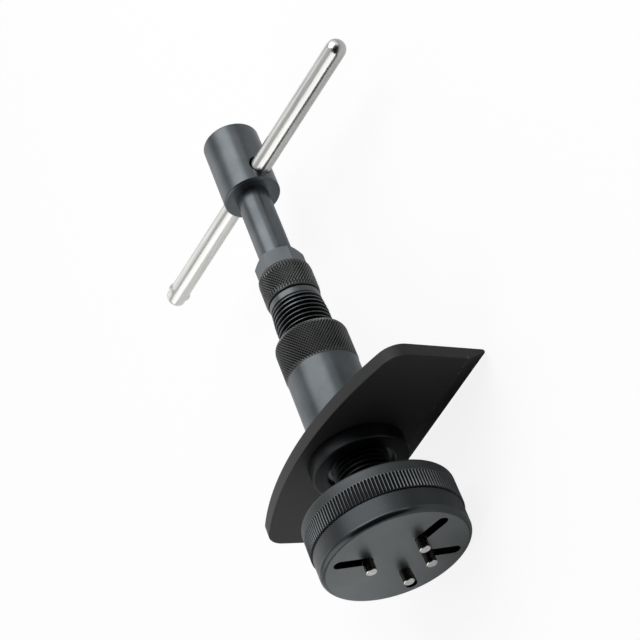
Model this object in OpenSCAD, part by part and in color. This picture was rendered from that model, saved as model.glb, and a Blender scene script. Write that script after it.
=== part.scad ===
// Brake caliper piston tool: a hand tool that presses a caliper piston home while it turns it.
// Sizes are in millimetres. The tool lies along X, with the adapter's face at X = 0 and the T-head at +X.
// Each piece is drawn upright about Z, from the face up, and lay() turns it onto X, so that the
// straight edge of the reaction plate (local +X) points down.

/* [Adapter] */
// Diameter of the face plate
face_d = 55; // [54:0.1:60]
// Diameter of the adjuster ring, over its plain band
ring_d = 56.2; // [55:0.1:61]
// Height of the face plate
face_h = 9.2; // [9:0.1:10.5]
// Height of the adjuster ring
ring_h = 11.4; // [11:0.1:14]
// Rounding of the face's rim
face_round = 2; // [0.5:0.1:3]
// Rounding of the adjuster ring's upper rim
ring_round = 1.2; // [0.5:0.1:2]
// Number of flutes round the adjuster ring
flute_count = 140; // [100:1:160]
// Depth of the flutes
flute_depth = 0.5; // [0.3:0.05:0.7]
// Height of the fluted band, from the ring's lower edge up
flute_h = 7; // [5:0.1:8.5]
// Diameter of the hub that the ring turns on
hub_d = 16; // [15:0.1:16.2]

/* [Drive pins] */
// Diameter of a drive pin's free end
pin_d = 4; // [3.2:0.1:4.6]
// How far the pins stand out of the face
pin_out = 4.5; // [3:0.1:8]
// Pitch circle of the pins with the adapter closed
pin_pcd = 22.5; // [22.3:0.1:25]
// Radial travel of each pin
pin_travel = 10.3; // [6:0.1:10.5]
// Turn of the adjuster ring over the whole travel, in degrees
ring_turn = 95; // [85:1:110]
// Diameter of the stub that follows the spiral groove
follower_d = 3; // [2.4:0.1:3.2]
// Angle of the first slot from the normal of the plate's straight edge
slot_angle = -11; // [-60:1:60]

/* [Spindle] */
// Length from the adapter's face to the end of the T-head
tool_len = 201.5; // [190:0.5:240]
// Diameter of the T-head
head_d = 22.8; // [20:0.1:26]
// Length of the T-head
head_h = 31; // [26:0.5:36]
// Edge break of the T-head
head_edge = 1; // [0.4:0.1:2]
// Diameter of the shank
shank_d = 13.2; // [12.8:0.1:13.3]
// Diameter of the spindle's end in the hub
stub_d = 10; // [8:0.1:10.5]
// Diameter of the cross hole for the bar
cross_hole_d = 9.2; // [8.7:0.1:10]
// Height of the cross hole above the T-head's lower end
cross_hole_up = 7.4; // [7:0.1:12]

/* [T-bar] */
// Diameter of the bar
bar_d = 8; // [6:0.1:8.5]
// Length of the bar
bar_len = 147; // [110:1:180]
// How far the bar is slid off its middle
bar_shift = 4; // [0:0.5:10]
// Diameter of the swaged ring near the bar's lower end
swage_d = 9.5; // [9.4:0.1:11]
// Length of the swaged ring
swage_len = 4; // [3:0.1:6]
// Distance from the swaged ring to the end of the bar
swage_in = 4.5; // [3:0.1:8]
// Angle of the bar from the normal of the plate's straight edge
bar_angle = 94; // [60:1:120]

/* [Thrust screw] */
// Outside diameter of the thread
thread_d = 21.2; // [20.6:0.1:21.6]
// Length of the threaded part, with its run-out
thread_len = 83.6; // [76:0.1:92]
// Length of the thread's run-out
runout_len = 6.5; // [3:0.1:9]
// Diameter of the plain shoulder above the thread
shoulder_d = 20; // [19.4:0.1:20.5]
// Height of the plain shoulder, with the groove above it
shoulder_h = 3; // [2:0.1:5]
// Diameter of the knurled collar
collar_d = 21.2; // [20.8:0.1:24]
// Height of the knurled collar
collar_h = 12.7; // [10:0.1:16]
// Width across the flats of the hexagon above the collar
hex_af = 17; // [16.6:0.1:17.5]
// Height of the hexagon
hex_h = 7.8; // [6:0.1:10]
// Angle of the hexagon's first corner
hex_angle = 27; // [0:1:59]

/* [Nut sleeve] */
// Diameter of the knurled end
knurl_d = 28.1; // [27.7:0.1:30]
// Height of the knurled end
knurl_h = 16.6; // [12:0.1:24]
// Diameter of the plain barrel
barrel_d = 27.6; // [26.6:0.1:28]
// Height of the sleeve above the plate
sleeve_h = 48.1; // [40:0.1:54]
// Rounding of the sleeve's upper shoulder
sleeve_round = 2.4; // [1:0.1:2.8]
// Diameter of the spigot through the plate
spigot_d = 24.6; // [23.8:0.1:25.2]
// Diameter of the retaining ring below the plate
retainer_d = 36; // [32:0.5:40]
// Height of the retaining ring
retainer_h = 6.2; // [4:0.1:7]
// How deep the sleeve's end sits inside the retaining ring
spigot_recess = 1.8; // [1:0.1:2.5]

/* [Reaction plate] */
// Distance from the adapter's face to the plate
plate_up = 44.2; // [42:0.1:52]
// Thickness of the plate
plate_t = 5.1; // [4:0.1:6]
// Length of the plate's straight edge
plate_len = 105.3; // [90:0.1:120]
// Lean of the plate's ends, which spread toward the bowed edge, in degrees
end_lean = 1.9; // [0:0.1:4]
// Distance from the axis to the straight edge
plate_edge = 28.2; // [27:0.1:32]
// Distance from the axis to the middle of the bowed edge
plate_bow = 22.2; // [20:0.1:30]
// Radius of the bowed edge
bow_r = 138; // [110:1:200]
// Radius of the corners at the bowed edge
bow_corner_r = 8.5; // [3:0.1:10]
// Radius of the corners at the straight edge
edge_corner_r = 1.5; // [1:0.1:5]
// Width of the bevel under the straight edge
bevel_w = 9.4; // [4:0.1:10]
// Height of the bevel under the straight edge
bevel_h = 4.3; // [2:0.1:4.4]
// Depth of the seat in the plate that takes the barrel's end
seat_depth = 0.4; // [0.3:0.05:1]

/* [Thrust bearing] */
// Outside diameter of the bearing
bearing_d = 24; // [22:0.1:24.4]
// Thickness of each race
race_t = 3.5; // [3:0.1:4]
// Diameter of the balls
ball_d = 3.6; // [3.2:0.1:4]
// Number of balls
ball_count = 12; // [8:1:12]

/* [Fits] */
// Radial clearance of running and sliding fits
fit_gap = 0.08; // [0.03:0.01:0.1]
// Axial clearance between pieces that turn on one another
turn_gap = 0.1; // [0.05:0.01:0.15]
// Clearance of pieces fixed to one another
seat_gap = 0.02; // [0.01:0.01:0.04]
// Clearance of pieces that pass free of one another
free_gap = 0.3; // [0.3:0.05:0.4]

/* [Hidden] */
$fn = 96;
eps = 0.5;

// Adapter stack
ring_z = face_h + 2 * turn_gap;
ring_top = ring_z + ring_h;
hub_top = ring_top + free_gap;
slot_bearings = [0, 60, 180, 300];
pin_r = pin_pcd / 2;
pin_r_out = pin_r + pin_travel;
pin_edge = pin_d / 10;
guide_d = pin_d + 0.2;
relief_r = pin_d / 2 - 0.3;
relief_half = 0.3;
slider_w = pin_d + 1.6;
slider_floor = 5;
slider_low = slider_floor + turn_gap;
slider_top = face_h - turn_gap;
follower_len = 3.2;
groove_depth = follower_len + 4 * turn_gap;
groove_w = follower_d + 2 * fit_gap;
groove_steps = 24;
groove_lead = pin_travel / (ring_turn * PI / 180);
flute_crest_r = ring_d / 2 - 0.08;
flute_crest_share = 0.16;
stub_floor = 3;
stub_low = stub_floor + free_gap;
stub_edge = 0.4;
hub_pin_d = 3;
hub_pin_up = (ring_z + ring_top) / 2 - 1.5;

// Circlip and spring washer in the ring's upper recess
clip_t = 1.2;
clip_grip = 0.6;
recess_depth = 2.7;
recess_r = hub_d / 2 + 2.7;
recess_floor = ring_top - recess_depth;
washer_t = 0.5;
washer_z = recess_floor + turn_gap;
washer_r = recess_r - free_gap;
clip_z = washer_z + washer_t + turn_gap;
clip_r = washer_r - 0.2;
clip_open = 26;

// Thrust bearing stack
race_groove = 1;
ball_r = ball_d / 2;
ball_pitch_r = (shank_d + bearing_d) / 4;
ball_z = hub_top + race_t - race_groove + ball_r;
upper_race_z = ball_z + ball_r - race_groove;
cage_t = 0.9;
cage_half = ball_r + 0.35;
screw_z = upper_race_z + race_t;

// Thrust screw stack
thread_r = thread_d / 2;
thread_top = screw_z + thread_len;
runout_z = thread_top - runout_len;
shoulder_r = shoulder_d / 2;
collar_r = collar_d / 2;
collar_z = thread_top + shoulder_h;
collar_groove = 0.5;
groove_r = shoulder_r - collar_groove;
collar_edge = 0.4;
hex_z = collar_z + collar_h;
hex_top = hex_z + hex_h;
hex_d = hex_af / cos(30);
hex_top_r = hex_af / 2 - 0.1;
hex_slope = 0.6;
shank_r = shank_d / 2;
bore_r = shank_r + fit_gap;
shank_clip_in = 2;
shank_clip_z = hex_top - shank_clip_in;
shank_clip_r = shank_r + 0.6;
counterbore_depth = shank_clip_in + turn_gap;
counterbore_r = shank_clip_r + free_gap;

// Spindle stack
head_z = tool_len - head_h;
bar_z = head_z + cross_hole_up;
bar_edge = 1.5;
swage_edge = 1;
swage_low = bar_len - swage_in - swage_len;

// Plate and sleeve stack
plate_top = plate_up + plate_t;
seat_d = barrel_d + 1.2;
barrel_z = plate_top - seat_depth + turn_gap;
sleeve_top = plate_top + sleeve_h;
knurl_z = sleeve_top - knurl_h;
retainer_z = plate_up - turn_gap - retainer_h;
retainer_edge = 0.8;
spigot_z = retainer_z + spigot_recess;
nut_r = thread_r + fit_gap;
nut_lead = 1;

// Plate outline: the bow's corner circles touch the bow inside and the leaning ends
half_len = plate_len / 2;
end_normal = 90 - end_lean;
edge_corner_x = plate_edge - edge_corner_r;
edge_corner_y = half_len - edge_corner_r * (1 - sin(end_lean)) / cos(end_lean);
bow_x = bow_r - plate_bow;
bow_inner_r = bow_r - bow_corner_r;
lean_y = half_len + (plate_edge * sin(end_lean) - bow_corner_r) / cos(end_lean);
lean_b = bow_x + lean_y * tan(end_lean);
lean_c = pow(bow_x, 2) + pow(lean_y, 2) - pow(bow_inner_r, 2);
bow_corner_x = (lean_b - sqrt(pow(lean_b, 2) - lean_c / pow(cos(end_lean), 2))) * pow(cos(end_lean), 2);
bow_corner_y = lean_y - bow_corner_x * tan(end_lean);
bow_turn = asin(bow_corner_y / bow_inner_r);
bow_steps = 48;
corner_steps = 10;

// Turns an upright piece onto X
module lay() {
    rotate([0, 90, 0]) children();
}

// Plain tube or bush
module tube(outer_r, inner_r, z, h) {
    translate([0, 0, z]) difference() {
        cylinder(r = outer_r, h = h);
        translate([0, 0, -eps]) cylinder(r = inner_r, h = h + 2 * eps);
    }
}

// Profile of a round bar from z up, with both outer edges broken at 45 degrees
module turned_profile(r, z, h, low_edge, top_edge) {
    polygon([
        [0, z], [r - low_edge, z], [r, z + low_edge], [r, z + h - top_edge],
        [r - top_edge, z + h], [0, z + h]
    ]);
}

// Straight slot along +X with round ends, between two radii
module slot_outline(r_in, r_out, width) {
    translate([r_in, -width / 2]) square([r_out - r_in, width]);
    translate([r_in, 0]) circle(d = width);
    translate([r_out, 0]) circle(d = width);
}

// Open spring clip: a flat ring with a gap
module circlip(outer_r, inner_r, z) {
    difference() {
        tube(outer_r, inner_r, z, clip_t);
        translate([0, 0, z - eps]) linear_extrude(clip_t + 2 * eps) polygon([
            [0, 0], [2 * outer_r, 2 * outer_r * tan(clip_open)], [2 * outer_r, -2 * outer_r * tan(clip_open)]
        ]);
    }
}

// Points along an arc from one angle to another
function arc(centre, r, from, to, steps) =
    [for (i = [0 : steps]) let (a = from + (to - from) * i / steps) centre + r * [cos(a), sin(a)]];

// Plate outline: one straight long edge, one bowed long edge, four rounded corners
module plate_outline() {
    bow_inner = bow_turn * (1 - 2 / bow_steps);
    polygon(concat(
        arc([edge_corner_x, -edge_corner_y], edge_corner_r, -end_normal, 0, corner_steps),
        arc([edge_corner_x, edge_corner_y], edge_corner_r, 0, end_normal, corner_steps),
        arc([bow_corner_x, bow_corner_y], bow_corner_r, end_normal, 180 - bow_turn, corner_steps),
        arc([bow_x, 0], bow_r, 180 - bow_inner, 180 + bow_inner, bow_steps - 2),
        arc([bow_corner_x, -bow_corner_y], bow_corner_r, 180 + bow_turn, 360 - end_normal, corner_steps)
    ));
}

module reaction_plate() {
    color("#232425") lay() difference() {
        translate([0, 0, plate_up]) linear_extrude(plate_t) plate_outline();
        translate([0, 0, plate_up - eps]) cylinder(d = spigot_d + 2 * fit_gap, h = plate_t + 2 * eps);
        // Seat of the barrel
        translate([0, 0, plate_top - seat_depth]) cylinder(d = seat_d, h = seat_depth + eps);
        // Bevel under the straight edge
        rotate([90, 0, 0]) translate([0, 0, -plate_len]) linear_extrude(2 * plate_len) polygon([
            [plate_edge - bevel_w, plate_up], [plate_edge - bevel_w, plate_up - eps],
            [plate_edge + eps, plate_up - eps], [plate_edge + eps, plate_up + bevel_h],
            [plate_edge, plate_up + bevel_h]
        ]);
    }
}

module nut_sleeve() {
    color("#45494c") lay() difference() {
        rotate_extrude() {
            translate([0, spigot_z]) square([spigot_d / 2, barrel_z - spigot_z + eps]);
            translate([0, barrel_z]) square([barrel_d / 2, knurl_z - barrel_z + eps]);
            translate([0, knurl_z]) square([knurl_d / 2, knurl_h - sleeve_round]);
            translate([0, knurl_z + eps]) square([knurl_d / 2 - sleeve_round, knurl_h - eps]);
            translate([knurl_d / 2 - sleeve_round, sleeve_top - sleeve_round]) circle(r = sleeve_round);
        }
        translate([0, 0, spigot_z - eps]) cylinder(r = nut_r, h = sleeve_top - spigot_z + 2 * eps);
        // Lead-in of the thread at the upper end
        translate([0, 0, sleeve_top - nut_lead])
            cylinder(r1 = nut_r, r2 = nut_r + 2 * nut_lead, h = 2 * nut_lead);
    }
}

module plate_retaining_ring() {
    color("#3a3d3f") lay() difference() {
        rotate_extrude()
            turned_profile(retainer_d / 2, retainer_z, retainer_h, retainer_edge, retainer_edge / 2);
        translate([0, 0, retainer_z - eps]) cylinder(r = spigot_d / 2 + seat_gap, h = retainer_h + 2 * eps);
        translate([0, 0, retainer_z - retainer_edge])
            cylinder(r1 = spigot_d / 2 + 2 * retainer_edge, r2 = spigot_d / 2, h = 2 * retainer_edge);
    }
}

// Hexagon with its upper corners turned off
module chamfered_hexagon() {
    intersection() {
        rotate([0, 0, hex_angle]) translate([0, 0, hex_z - eps])
            cylinder(d = hex_d, h = hex_h + eps, $fn = 6);
        rotate_extrude() polygon([
            [0, hex_z - 2 * eps], [hex_d, hex_z - 2 * eps],
            [hex_d, hex_top - hex_slope * (hex_d - hex_top_r)],
            [hex_top_r, hex_top], [0, hex_top]
        ]);
    }
}

module thrust_screw() {
    color("#4a4e51") lay() difference() {
        union() {
            rotate_extrude() polygon([
                [0, screw_z], [thread_r - collar_edge, screw_z], [thread_r, screw_z + collar_edge],
                [thread_r, runout_z], [shoulder_r, thread_top], [shoulder_r, collar_z - collar_groove],
                [groove_r, collar_z - collar_groove], [groove_r, collar_z],
                [collar_r - collar_edge, collar_z], [collar_r, collar_z + collar_edge],
                [collar_r, hex_z - collar_edge], [collar_r - collar_edge, hex_z], [0, hex_z]
            ]);
            chamfered_hexagon();
        }
        translate([0, 0, screw_z - eps]) cylinder(r = bore_r, h = hex_top - screw_z + 2 * eps);
        // Recess of the circlip in the hexagon
        translate([0, 0, hex_top - counterbore_depth])
            cylinder(r = counterbore_r, h = counterbore_depth + eps);
    }
}

// One washer of the thrust bearing, with the ball track cut into it
module race(z) {
    difference() {
        tube(bearing_d / 2, bore_r, z, race_t);
        translate([0, 0, ball_z]) rotate_extrude() translate([ball_pitch_r, 0]) circle(r = ball_r + fit_gap);
    }
}

module thrust_race_upper() {
    color("#b4b7ba") lay() race(upper_race_z);
}

module thrust_race_lower() {
    color("#b4b7ba") lay() race(hub_top);
}

module thrust_ball_cage() {
    color("#b08d4a") lay() difference() {
        tube(ball_pitch_r + cage_half, ball_pitch_r - cage_half, ball_z - cage_t / 2, cage_t);
        for (i = [0 : ball_count - 1]) {
            rotate([0, 0, i * 360 / ball_count]) translate([ball_pitch_r, 0, ball_z - cage_t])
                cylinder(r = ball_r + fit_gap, h = 2 * cage_t);
        }
    }
}

module thrust_balls() {
    color("#d0d2d4") lay() for (i = [0 : ball_count - 1]) {
        rotate([0, 0, i * 360 / ball_count]) translate([ball_pitch_r, 0, ball_z]) sphere(r = ball_r);
    }
}

// Cross hole of the hub pin, through the hub and the spindle's end
module hub_pin_hole() {
    translate([0, 0, hub_pin_up]) rotate([0, 90, 0])
        cylinder(d = hub_pin_d + 2 * seat_gap, h = 2 * hub_d, center = true);
}

module spindle() {
    color("#4d5154") lay() difference() {
        rotate_extrude() {
            turned_profile(stub_d / 2, stub_low, hub_top - stub_low + eps, stub_edge, 0);
            turned_profile(shank_r, hub_top, head_z - hub_top + eps, 0, 0);
            turned_profile(head_d / 2, head_z, head_h, head_edge, head_edge);
        }
        // Cross hole for the bar
        translate([0, 0, bar_z]) rotate([0, 90, bar_angle])
            cylinder(d = cross_hole_d, h = 2 * head_d, center = true);
        // Groove of the circlip in the hexagon
        tube(shank_r + eps, shank_r - clip_grip, shank_clip_z - turn_gap, clip_t + 2 * turn_gap);
        hub_pin_hole();
    }
}

module spindle_circlip() {
    color("#8c9094") lay() circlip(shank_clip_r, shank_r - clip_grip + seat_gap, shank_clip_z);
}

module t_bar() {
    color("#c9ccd0") lay() translate([0, 0, bar_z]) rotate([0, 90, bar_angle])
        translate([0, 0, -bar_shift - bar_len / 2]) {
            translate([0, 0, bar_d / 2]) sphere(d = bar_d);
            rotate_extrude() {
                turned_profile(bar_d / 2, bar_d / 2, bar_len - bar_d / 2, 0, bar_edge);
                turned_profile(swage_d / 2, swage_low, swage_len, swage_edge, swage_edge);
            }
        }
}

// Turns its children to one of the four slots
module at_slot(bearing) {
    rotate([0, 0, slot_angle + bearing]) children();
}

module face_plate() {
    color("#3d4042") lay() difference() {
        union() {
            rotate_extrude() {
                translate([0, face_round]) square([face_d / 2, face_h - face_round]);
                square([face_d / 2 - face_round, face_h]);
                translate([face_d / 2 - face_round, face_round]) circle(r = face_round);
            }
            translate([0, 0, face_h - eps]) cylinder(d = hub_d, h = hub_top - face_h + eps);
        }
        translate([0, 0, stub_floor]) cylinder(r = stub_d / 2 + seat_gap, h = hub_top);
        for (bearing = slot_bearings) {
            at_slot(bearing) {
                // Slot for the pin, and behind it the guideway of its slider
                translate([0, 0, -eps]) linear_extrude(face_h)
                    slot_outline(pin_r - fit_gap, pin_r_out + fit_gap, guide_d + 2 * fit_gap);
                translate([pin_r - slider_w / 2 - 2 * turn_gap, -slider_w / 2 - fit_gap, slider_floor])
                    cube([pin_travel + slider_w + 4 * turn_gap, slider_w + 2 * fit_gap, face_h]);
            }
        }
        tube(hub_d / 2 + eps, hub_d / 2 - clip_grip, clip_z - turn_gap / 2, clip_t + turn_gap);
        hub_pin_hole();
    }
}

module hub_pin() {
    color("#9a9ea2") lay() translate([0, 0, hub_pin_up]) rotate([0, 90, 0])
        cylinder(d = hub_pin_d, h = hub_d - 4 * turn_gap, center = true);
}

// Fluted outline: straight-sided valleys between flat crests
module flute_outline() {
    step = 360 / flute_count;
    valley_r = flute_crest_r - flute_depth;
    crest = [[-flute_crest_share, flute_crest_r], [flute_crest_share, flute_crest_r], [0.5, valley_r]];
    polygon([
        for (i = [0 : flute_count - 1])
            for (p = crest) p[1] * [cos((i + p[0]) * step), sin((i + p[0]) * step)]
    ]);
}

// Point of the spiral groove at a ring angle, moved off the centre line by side
function spiral_point(turn, side) =
    let (r = pin_r + groove_lead * turn * PI / 180, lean = atan(groove_lead / r))
    [
        r * cos(-turn) + side * cos(-turn + lean),
        r * sin(-turn) + side * sin(-turn + lean)
    ];

// Spiral groove outline: each pin moves out as the ring turns
module spiral_outline() {
    half = groove_w / 2;
    step = ring_turn / groove_steps;
    polygon(concat(
        [for (i = [0 : groove_steps]) spiral_point(i * step, half)],
        [for (i = [groove_steps : -1 : 0]) spiral_point(i * step, -half)]
    ));
    translate(spiral_point(0, 0)) circle(r = half);
    translate(spiral_point(ring_turn, 0)) circle(r = half);
}

module adjuster_ring() {
    core_r = ring_d / 2 - 2 * flute_depth;
    color("#35383a") lay() difference() {
        union() {
            translate([0, 0, ring_z]) linear_extrude(flute_h) flute_outline();
            rotate_extrude() {
                translate([0, ring_z]) square([core_r, flute_h + eps]);
                translate([0, ring_z + flute_h]) square([ring_d / 2, ring_h - flute_h - ring_round]);
                translate([0, ring_z + flute_h]) square([ring_d / 2 - ring_round, ring_h - flute_h]);
                translate([ring_d / 2 - ring_round, ring_top - ring_round]) circle(r = ring_round);
            }
        }
        translate([0, 0, ring_z - eps]) cylinder(r = hub_d / 2 + fit_gap, h = ring_h + 2 * eps);
        translate([0, 0, recess_floor]) cylinder(r = recess_r, h = recess_depth + eps);
        for (bearing = slot_bearings) {
            at_slot(bearing) translate([0, 0, ring_z - eps])
                linear_extrude(groove_depth + eps) spiral_outline();
        }
    }
}

module spring_washer() {
    color("#a3a7ab") lay() tube(washer_r, hub_d / 2 + fit_gap, washer_z, washer_t);
}

module ring_circlip() {
    color("#8c9094") lay() circlip(clip_r, hub_d / 2 - clip_grip + seat_gap, clip_z);
}

// Drive pin: the free end, a relief, the guide in the slot, the slider and the stub in the spiral groove
module drive_pin(bearing) {
    color("#c4c7ca") lay() at_slot(bearing) translate([pin_r, 0, 0]) {
        rotate_extrude() polygon([
            [0, -pin_out], [pin_d / 2 - pin_edge, -pin_out], [pin_d / 2, pin_edge - pin_out],
            [pin_d / 2, -relief_half], [relief_r, -relief_half], [relief_r, relief_half],
            [guide_d / 2, relief_half], [guide_d / 2, slider_low + eps], [0, slider_low + eps]
        ]);
        translate([-slider_w / 2, -slider_w / 2, slider_low])
            cube([slider_w, slider_w, slider_top - slider_low]);
        translate([0, 0, slider_top - eps])
            cylinder(d = follower_d, h = follower_len + 2 * turn_gap + eps);
    }
}

module drive_pin_1() {
    drive_pin(slot_bearings[0]);
}

module drive_pin_2() {
    drive_pin(slot_bearings[1]);
}

module drive_pin_3() {
    drive_pin(slot_bearings[2]);
}

module drive_pin_4() {
    drive_pin(slot_bearings[3]);
}

reaction_plate();
nut_sleeve();
plate_retaining_ring();
thrust_screw();
thrust_race_upper();
thrust_ball_cage();
thrust_balls();
thrust_race_lower();
spindle();
spindle_circlip();
t_bar();
face_plate();
hub_pin();
adjuster_ring();
spring_washer();
ring_circlip();
drive_pin_1();
drive_pin_2();
drive_pin_3();
drive_pin_4();
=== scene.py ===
import math

import bmesh
import bpy
from mathutils import Matrix, Quaternion, Vector


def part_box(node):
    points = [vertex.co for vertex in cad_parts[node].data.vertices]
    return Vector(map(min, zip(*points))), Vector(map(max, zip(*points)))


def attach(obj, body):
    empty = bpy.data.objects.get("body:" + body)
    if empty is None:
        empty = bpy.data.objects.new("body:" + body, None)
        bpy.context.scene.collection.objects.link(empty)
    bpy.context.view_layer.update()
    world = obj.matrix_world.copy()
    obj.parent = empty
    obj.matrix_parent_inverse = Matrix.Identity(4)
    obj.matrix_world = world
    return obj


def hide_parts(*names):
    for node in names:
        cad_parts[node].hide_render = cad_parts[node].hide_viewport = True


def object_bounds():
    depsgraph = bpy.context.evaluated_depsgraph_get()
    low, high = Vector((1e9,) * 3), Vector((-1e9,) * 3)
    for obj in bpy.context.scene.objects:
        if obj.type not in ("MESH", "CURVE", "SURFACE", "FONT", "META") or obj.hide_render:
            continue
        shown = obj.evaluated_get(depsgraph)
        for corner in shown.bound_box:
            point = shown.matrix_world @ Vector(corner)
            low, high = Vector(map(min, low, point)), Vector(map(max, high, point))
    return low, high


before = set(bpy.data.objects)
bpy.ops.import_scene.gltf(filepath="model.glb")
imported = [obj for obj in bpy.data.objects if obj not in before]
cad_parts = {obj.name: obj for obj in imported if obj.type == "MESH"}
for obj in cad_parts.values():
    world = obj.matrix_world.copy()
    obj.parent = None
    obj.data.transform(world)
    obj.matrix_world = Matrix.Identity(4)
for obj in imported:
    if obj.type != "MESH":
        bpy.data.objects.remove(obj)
cad_low, cad_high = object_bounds()

# Pieces are turned about an upright Z in millimetres, with the adapter's face at zero, and LAY puts them
# onto the frame: along X, in metres.
MM = 0.001
LAY = Matrix.Scale(MM, 4) @ Matrix.Rotation(math.radians(90), 4, "Y")
ROUND_STEPS = 128
MERGE = 1e-4
MERGE_COPIES = 1e-3


def station(node, end):
    """Low (0) or high (1) end of a CAD node along the tool's axis, in millimetres."""
    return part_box(node)[end].x / MM


def radius(node):
    """Outside radius of a round CAD node, in millimetres."""
    low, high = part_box(node)
    return (high.y - low.y) / 2 / MM


# Adapter
FACE_R = radius("face_plate")
FACE_TOP = 9.2
RING_R = radius("adjuster_ring")
HUB_TOP = station("face_plate", 1)
HUB_R = 8.0
SLOT_ANGLE = -11
SLOT_BEARINGS = (0, 60, 180, 300)
SLOT_DEPTH = 5.5
PIN_R = 2.0
GUIDE_R = 2.1
PIN_CLOSED_R = 11.25
PIN_TRAVEL = 10.3
TURNING_GAP = 0.08

# Spindle, bar and screw
SHANK_R = 6.6
BAR_R = 4.0
BAR_ANGLE = 94
BAR_HEIGHT = (station("t_bar", 0) + station("t_bar", 1)) / 2
BORE_R = SHANK_R + TURNING_GAP
THREAD_R = 10.6
THREAD_DEPTH = 1.2
ROOT_R = THREAD_R - THREAD_DEPTH
PITCH = 2.0
RUNOUT = 6.5
SHOULDER_R = 10.0
SCREW_LOW = station("thrust_screw", 0)
SCREW_TOP = station("thrust_screw", 1)
THREAD_LENGTH = 83.6
SHOULDER_LENGTH = 3.0
COLLAR_LENGTH = 12.7
THREAD_TOP = SCREW_LOW + THREAD_LENGTH
COLLAR_LOW = THREAD_TOP + SHOULDER_LENGTH
HEX_LOW = COLLAR_LOW + COLLAR_LENGTH
KNURL_PITCH = 1.2
KNURL_DEPTH = 0.42

# Reaction plate: its straight edge lies at PLATE_EDGE from the axis, with the bevel below it
PLATE_LOW = station("reaction_plate", 0)
PLATE_TOP = station("reaction_plate", 1)
PLATE_EDGE = 28.2
BEVEL_W = 9.4
BEVEL_H = 4.3


# Building with bmesh

def put_in_scene(name, data):
    """New object that holds the data, in the scene."""
    thing = bpy.data.objects.new(name, data)
    bpy.context.scene.collection.objects.link(thing)
    return thing


def into_mesh(bm, name):
    """Moves bm into a new mesh."""
    mesh = bpy.data.meshes.new(name)
    bm.to_mesh(mesh)
    bm.free()
    return mesh


def link(bm, name, body, nodes, materials, smooth=35):
    """Makes bm a piece that rides on a body, stands for CAD nodes and takes the finishes it is given."""
    bmesh.ops.transform(bm, matrix=LAY, verts=bm.verts)
    bmesh.ops.recalc_face_normals(bm, faces=bm.faces)
    mesh = into_mesh(bm, name)
    for material in materials:
        mesh.materials.append(material)
    mesh.shade_smooth()
    mesh.set_sharp_from_angle(angle=math.radians(smooth))
    piece = put_in_scene(name, mesh)
    # Long faces keep their own normals beside small edge rounds
    weighted = piece.modifiers.new("weighted_normals", "WEIGHTED_NORMAL")
    weighted.keep_sharp = True
    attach(piece, body)
    if nodes:
        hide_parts(*nodes)


def verts_of(geom):
    """The vertices in what an operator gives back."""
    return [g for g in geom if isinstance(g, bmesh.types.BMVert)]


def edges_of(geom):
    """The edges in what an operator gives back."""
    return [g for g in geom if isinstance(g, bmesh.types.BMEdge)]


def edges_at(verts):
    """The edges that meet at any of the vertices."""
    return list(dict.fromkeys(e for v in verts for e in v.link_edges))


def whole(bm):
    """All of bm, for an operator that takes geometry."""
    return bm.verts[:] + bm.edges[:] + bm.faces[:]


def off_axis(point):
    """Distance of a point from the axis."""
    return math.hypot(point.x, point.y)


def widen(v, factor):
    """Moves a vertex away from the axis, or toward it."""
    v.co.x *= factor
    v.co.y *= factor


def profile_chain(bm, points):
    """Joins (radius, height) points into a chain of edges in the XZ plane."""
    verts = [bm.verts.new((r, 0, z)) for r, z in points]
    edges = [bm.edges.new(pair) for pair in zip(verts, verts[1:])]
    return verts + edges


def turned(points, steps=ROUND_STEPS, closed=False):
    """Spins a profile once round the axis; a closed profile makes a ring."""
    bm = bmesh.new()
    ends = [points[0]] if closed else []
    geom = profile_chain(bm, list(points) + ends)
    bmesh.ops.spin(
        bm, geom=geom, cent=(0, 0, 0), axis=(0, 0, 1), angle=math.tau, steps=steps, use_merge=True
    )
    bmesh.ops.remove_doubles(bm, verts=bm.verts, dist=MERGE)
    return bm


def arc(centre, r, first, last, steps):
    """(radius, height) points of a rounding in a profile, from one angle to another in degrees."""
    turns = [math.radians(first + (last - first) * i / steps) for i in range(steps + 1)]
    return [(centre[0] + r * math.cos(a), centre[1] + r * math.sin(a)) for a in turns]


def spaced(points, count):
    """Resamples a (radius, height) chain into count equal steps."""
    slack = 1e-9
    lengths = [math.dist(a, b) for a, b in zip(points, points[1:])]
    total = sum(lengths)
    even = []
    for k in range(count + 1):
        s = total * k / count
        for a, b, length in zip(points, points[1:], lengths):
            if s <= length + slack:
                t = s / length
                even.append((a[0] + (b[0] - a[0]) * t, a[1] + (b[1] - a[1]) * t))
                break
            s -= length
    return even


def rod(r, length, steps):
    """Plain rod about the axis, with its middle at zero."""
    bm = bmesh.new()
    bmesh.ops.create_cone(bm, cap_ends=True, segments=steps, radius1=r, radius2=r, depth=length)
    return bm


def lead_round(bm, last, centre, turn, steps):
    """Leads a vertex round an upright line through centre and gives the vertex where it ends."""
    end = bmesh.ops.spin(
        bm, geom=[last], cent=(*centre, last.co.z), axis=(0, 0, 1), angle=turn, steps=steps, use_merge=False
    )["geom_last"]
    return verts_of(end)[0]


def thicken(bm, height):
    """Raises a copy of the flat mesh and closes the sides between."""
    raised = bmesh.ops.extrude_face_region(bm, geom=bm.faces[:], use_keep_orig=True)["geom"]
    bmesh.ops.translate(bm, vec=(0, 0, height), verts=verts_of(raised))


def shear(bm, point, away):
    """Takes off what lies beyond a plane and fills the cut."""
    shorn = bmesh.ops.bisect_plane(
        bm, geom=whole(bm), plane_co=point, plane_no=away, clear_outer=True
    )["geom_cut"]
    bmesh.ops.holes_fill(bm, edges=edges_of(shorn))


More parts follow.
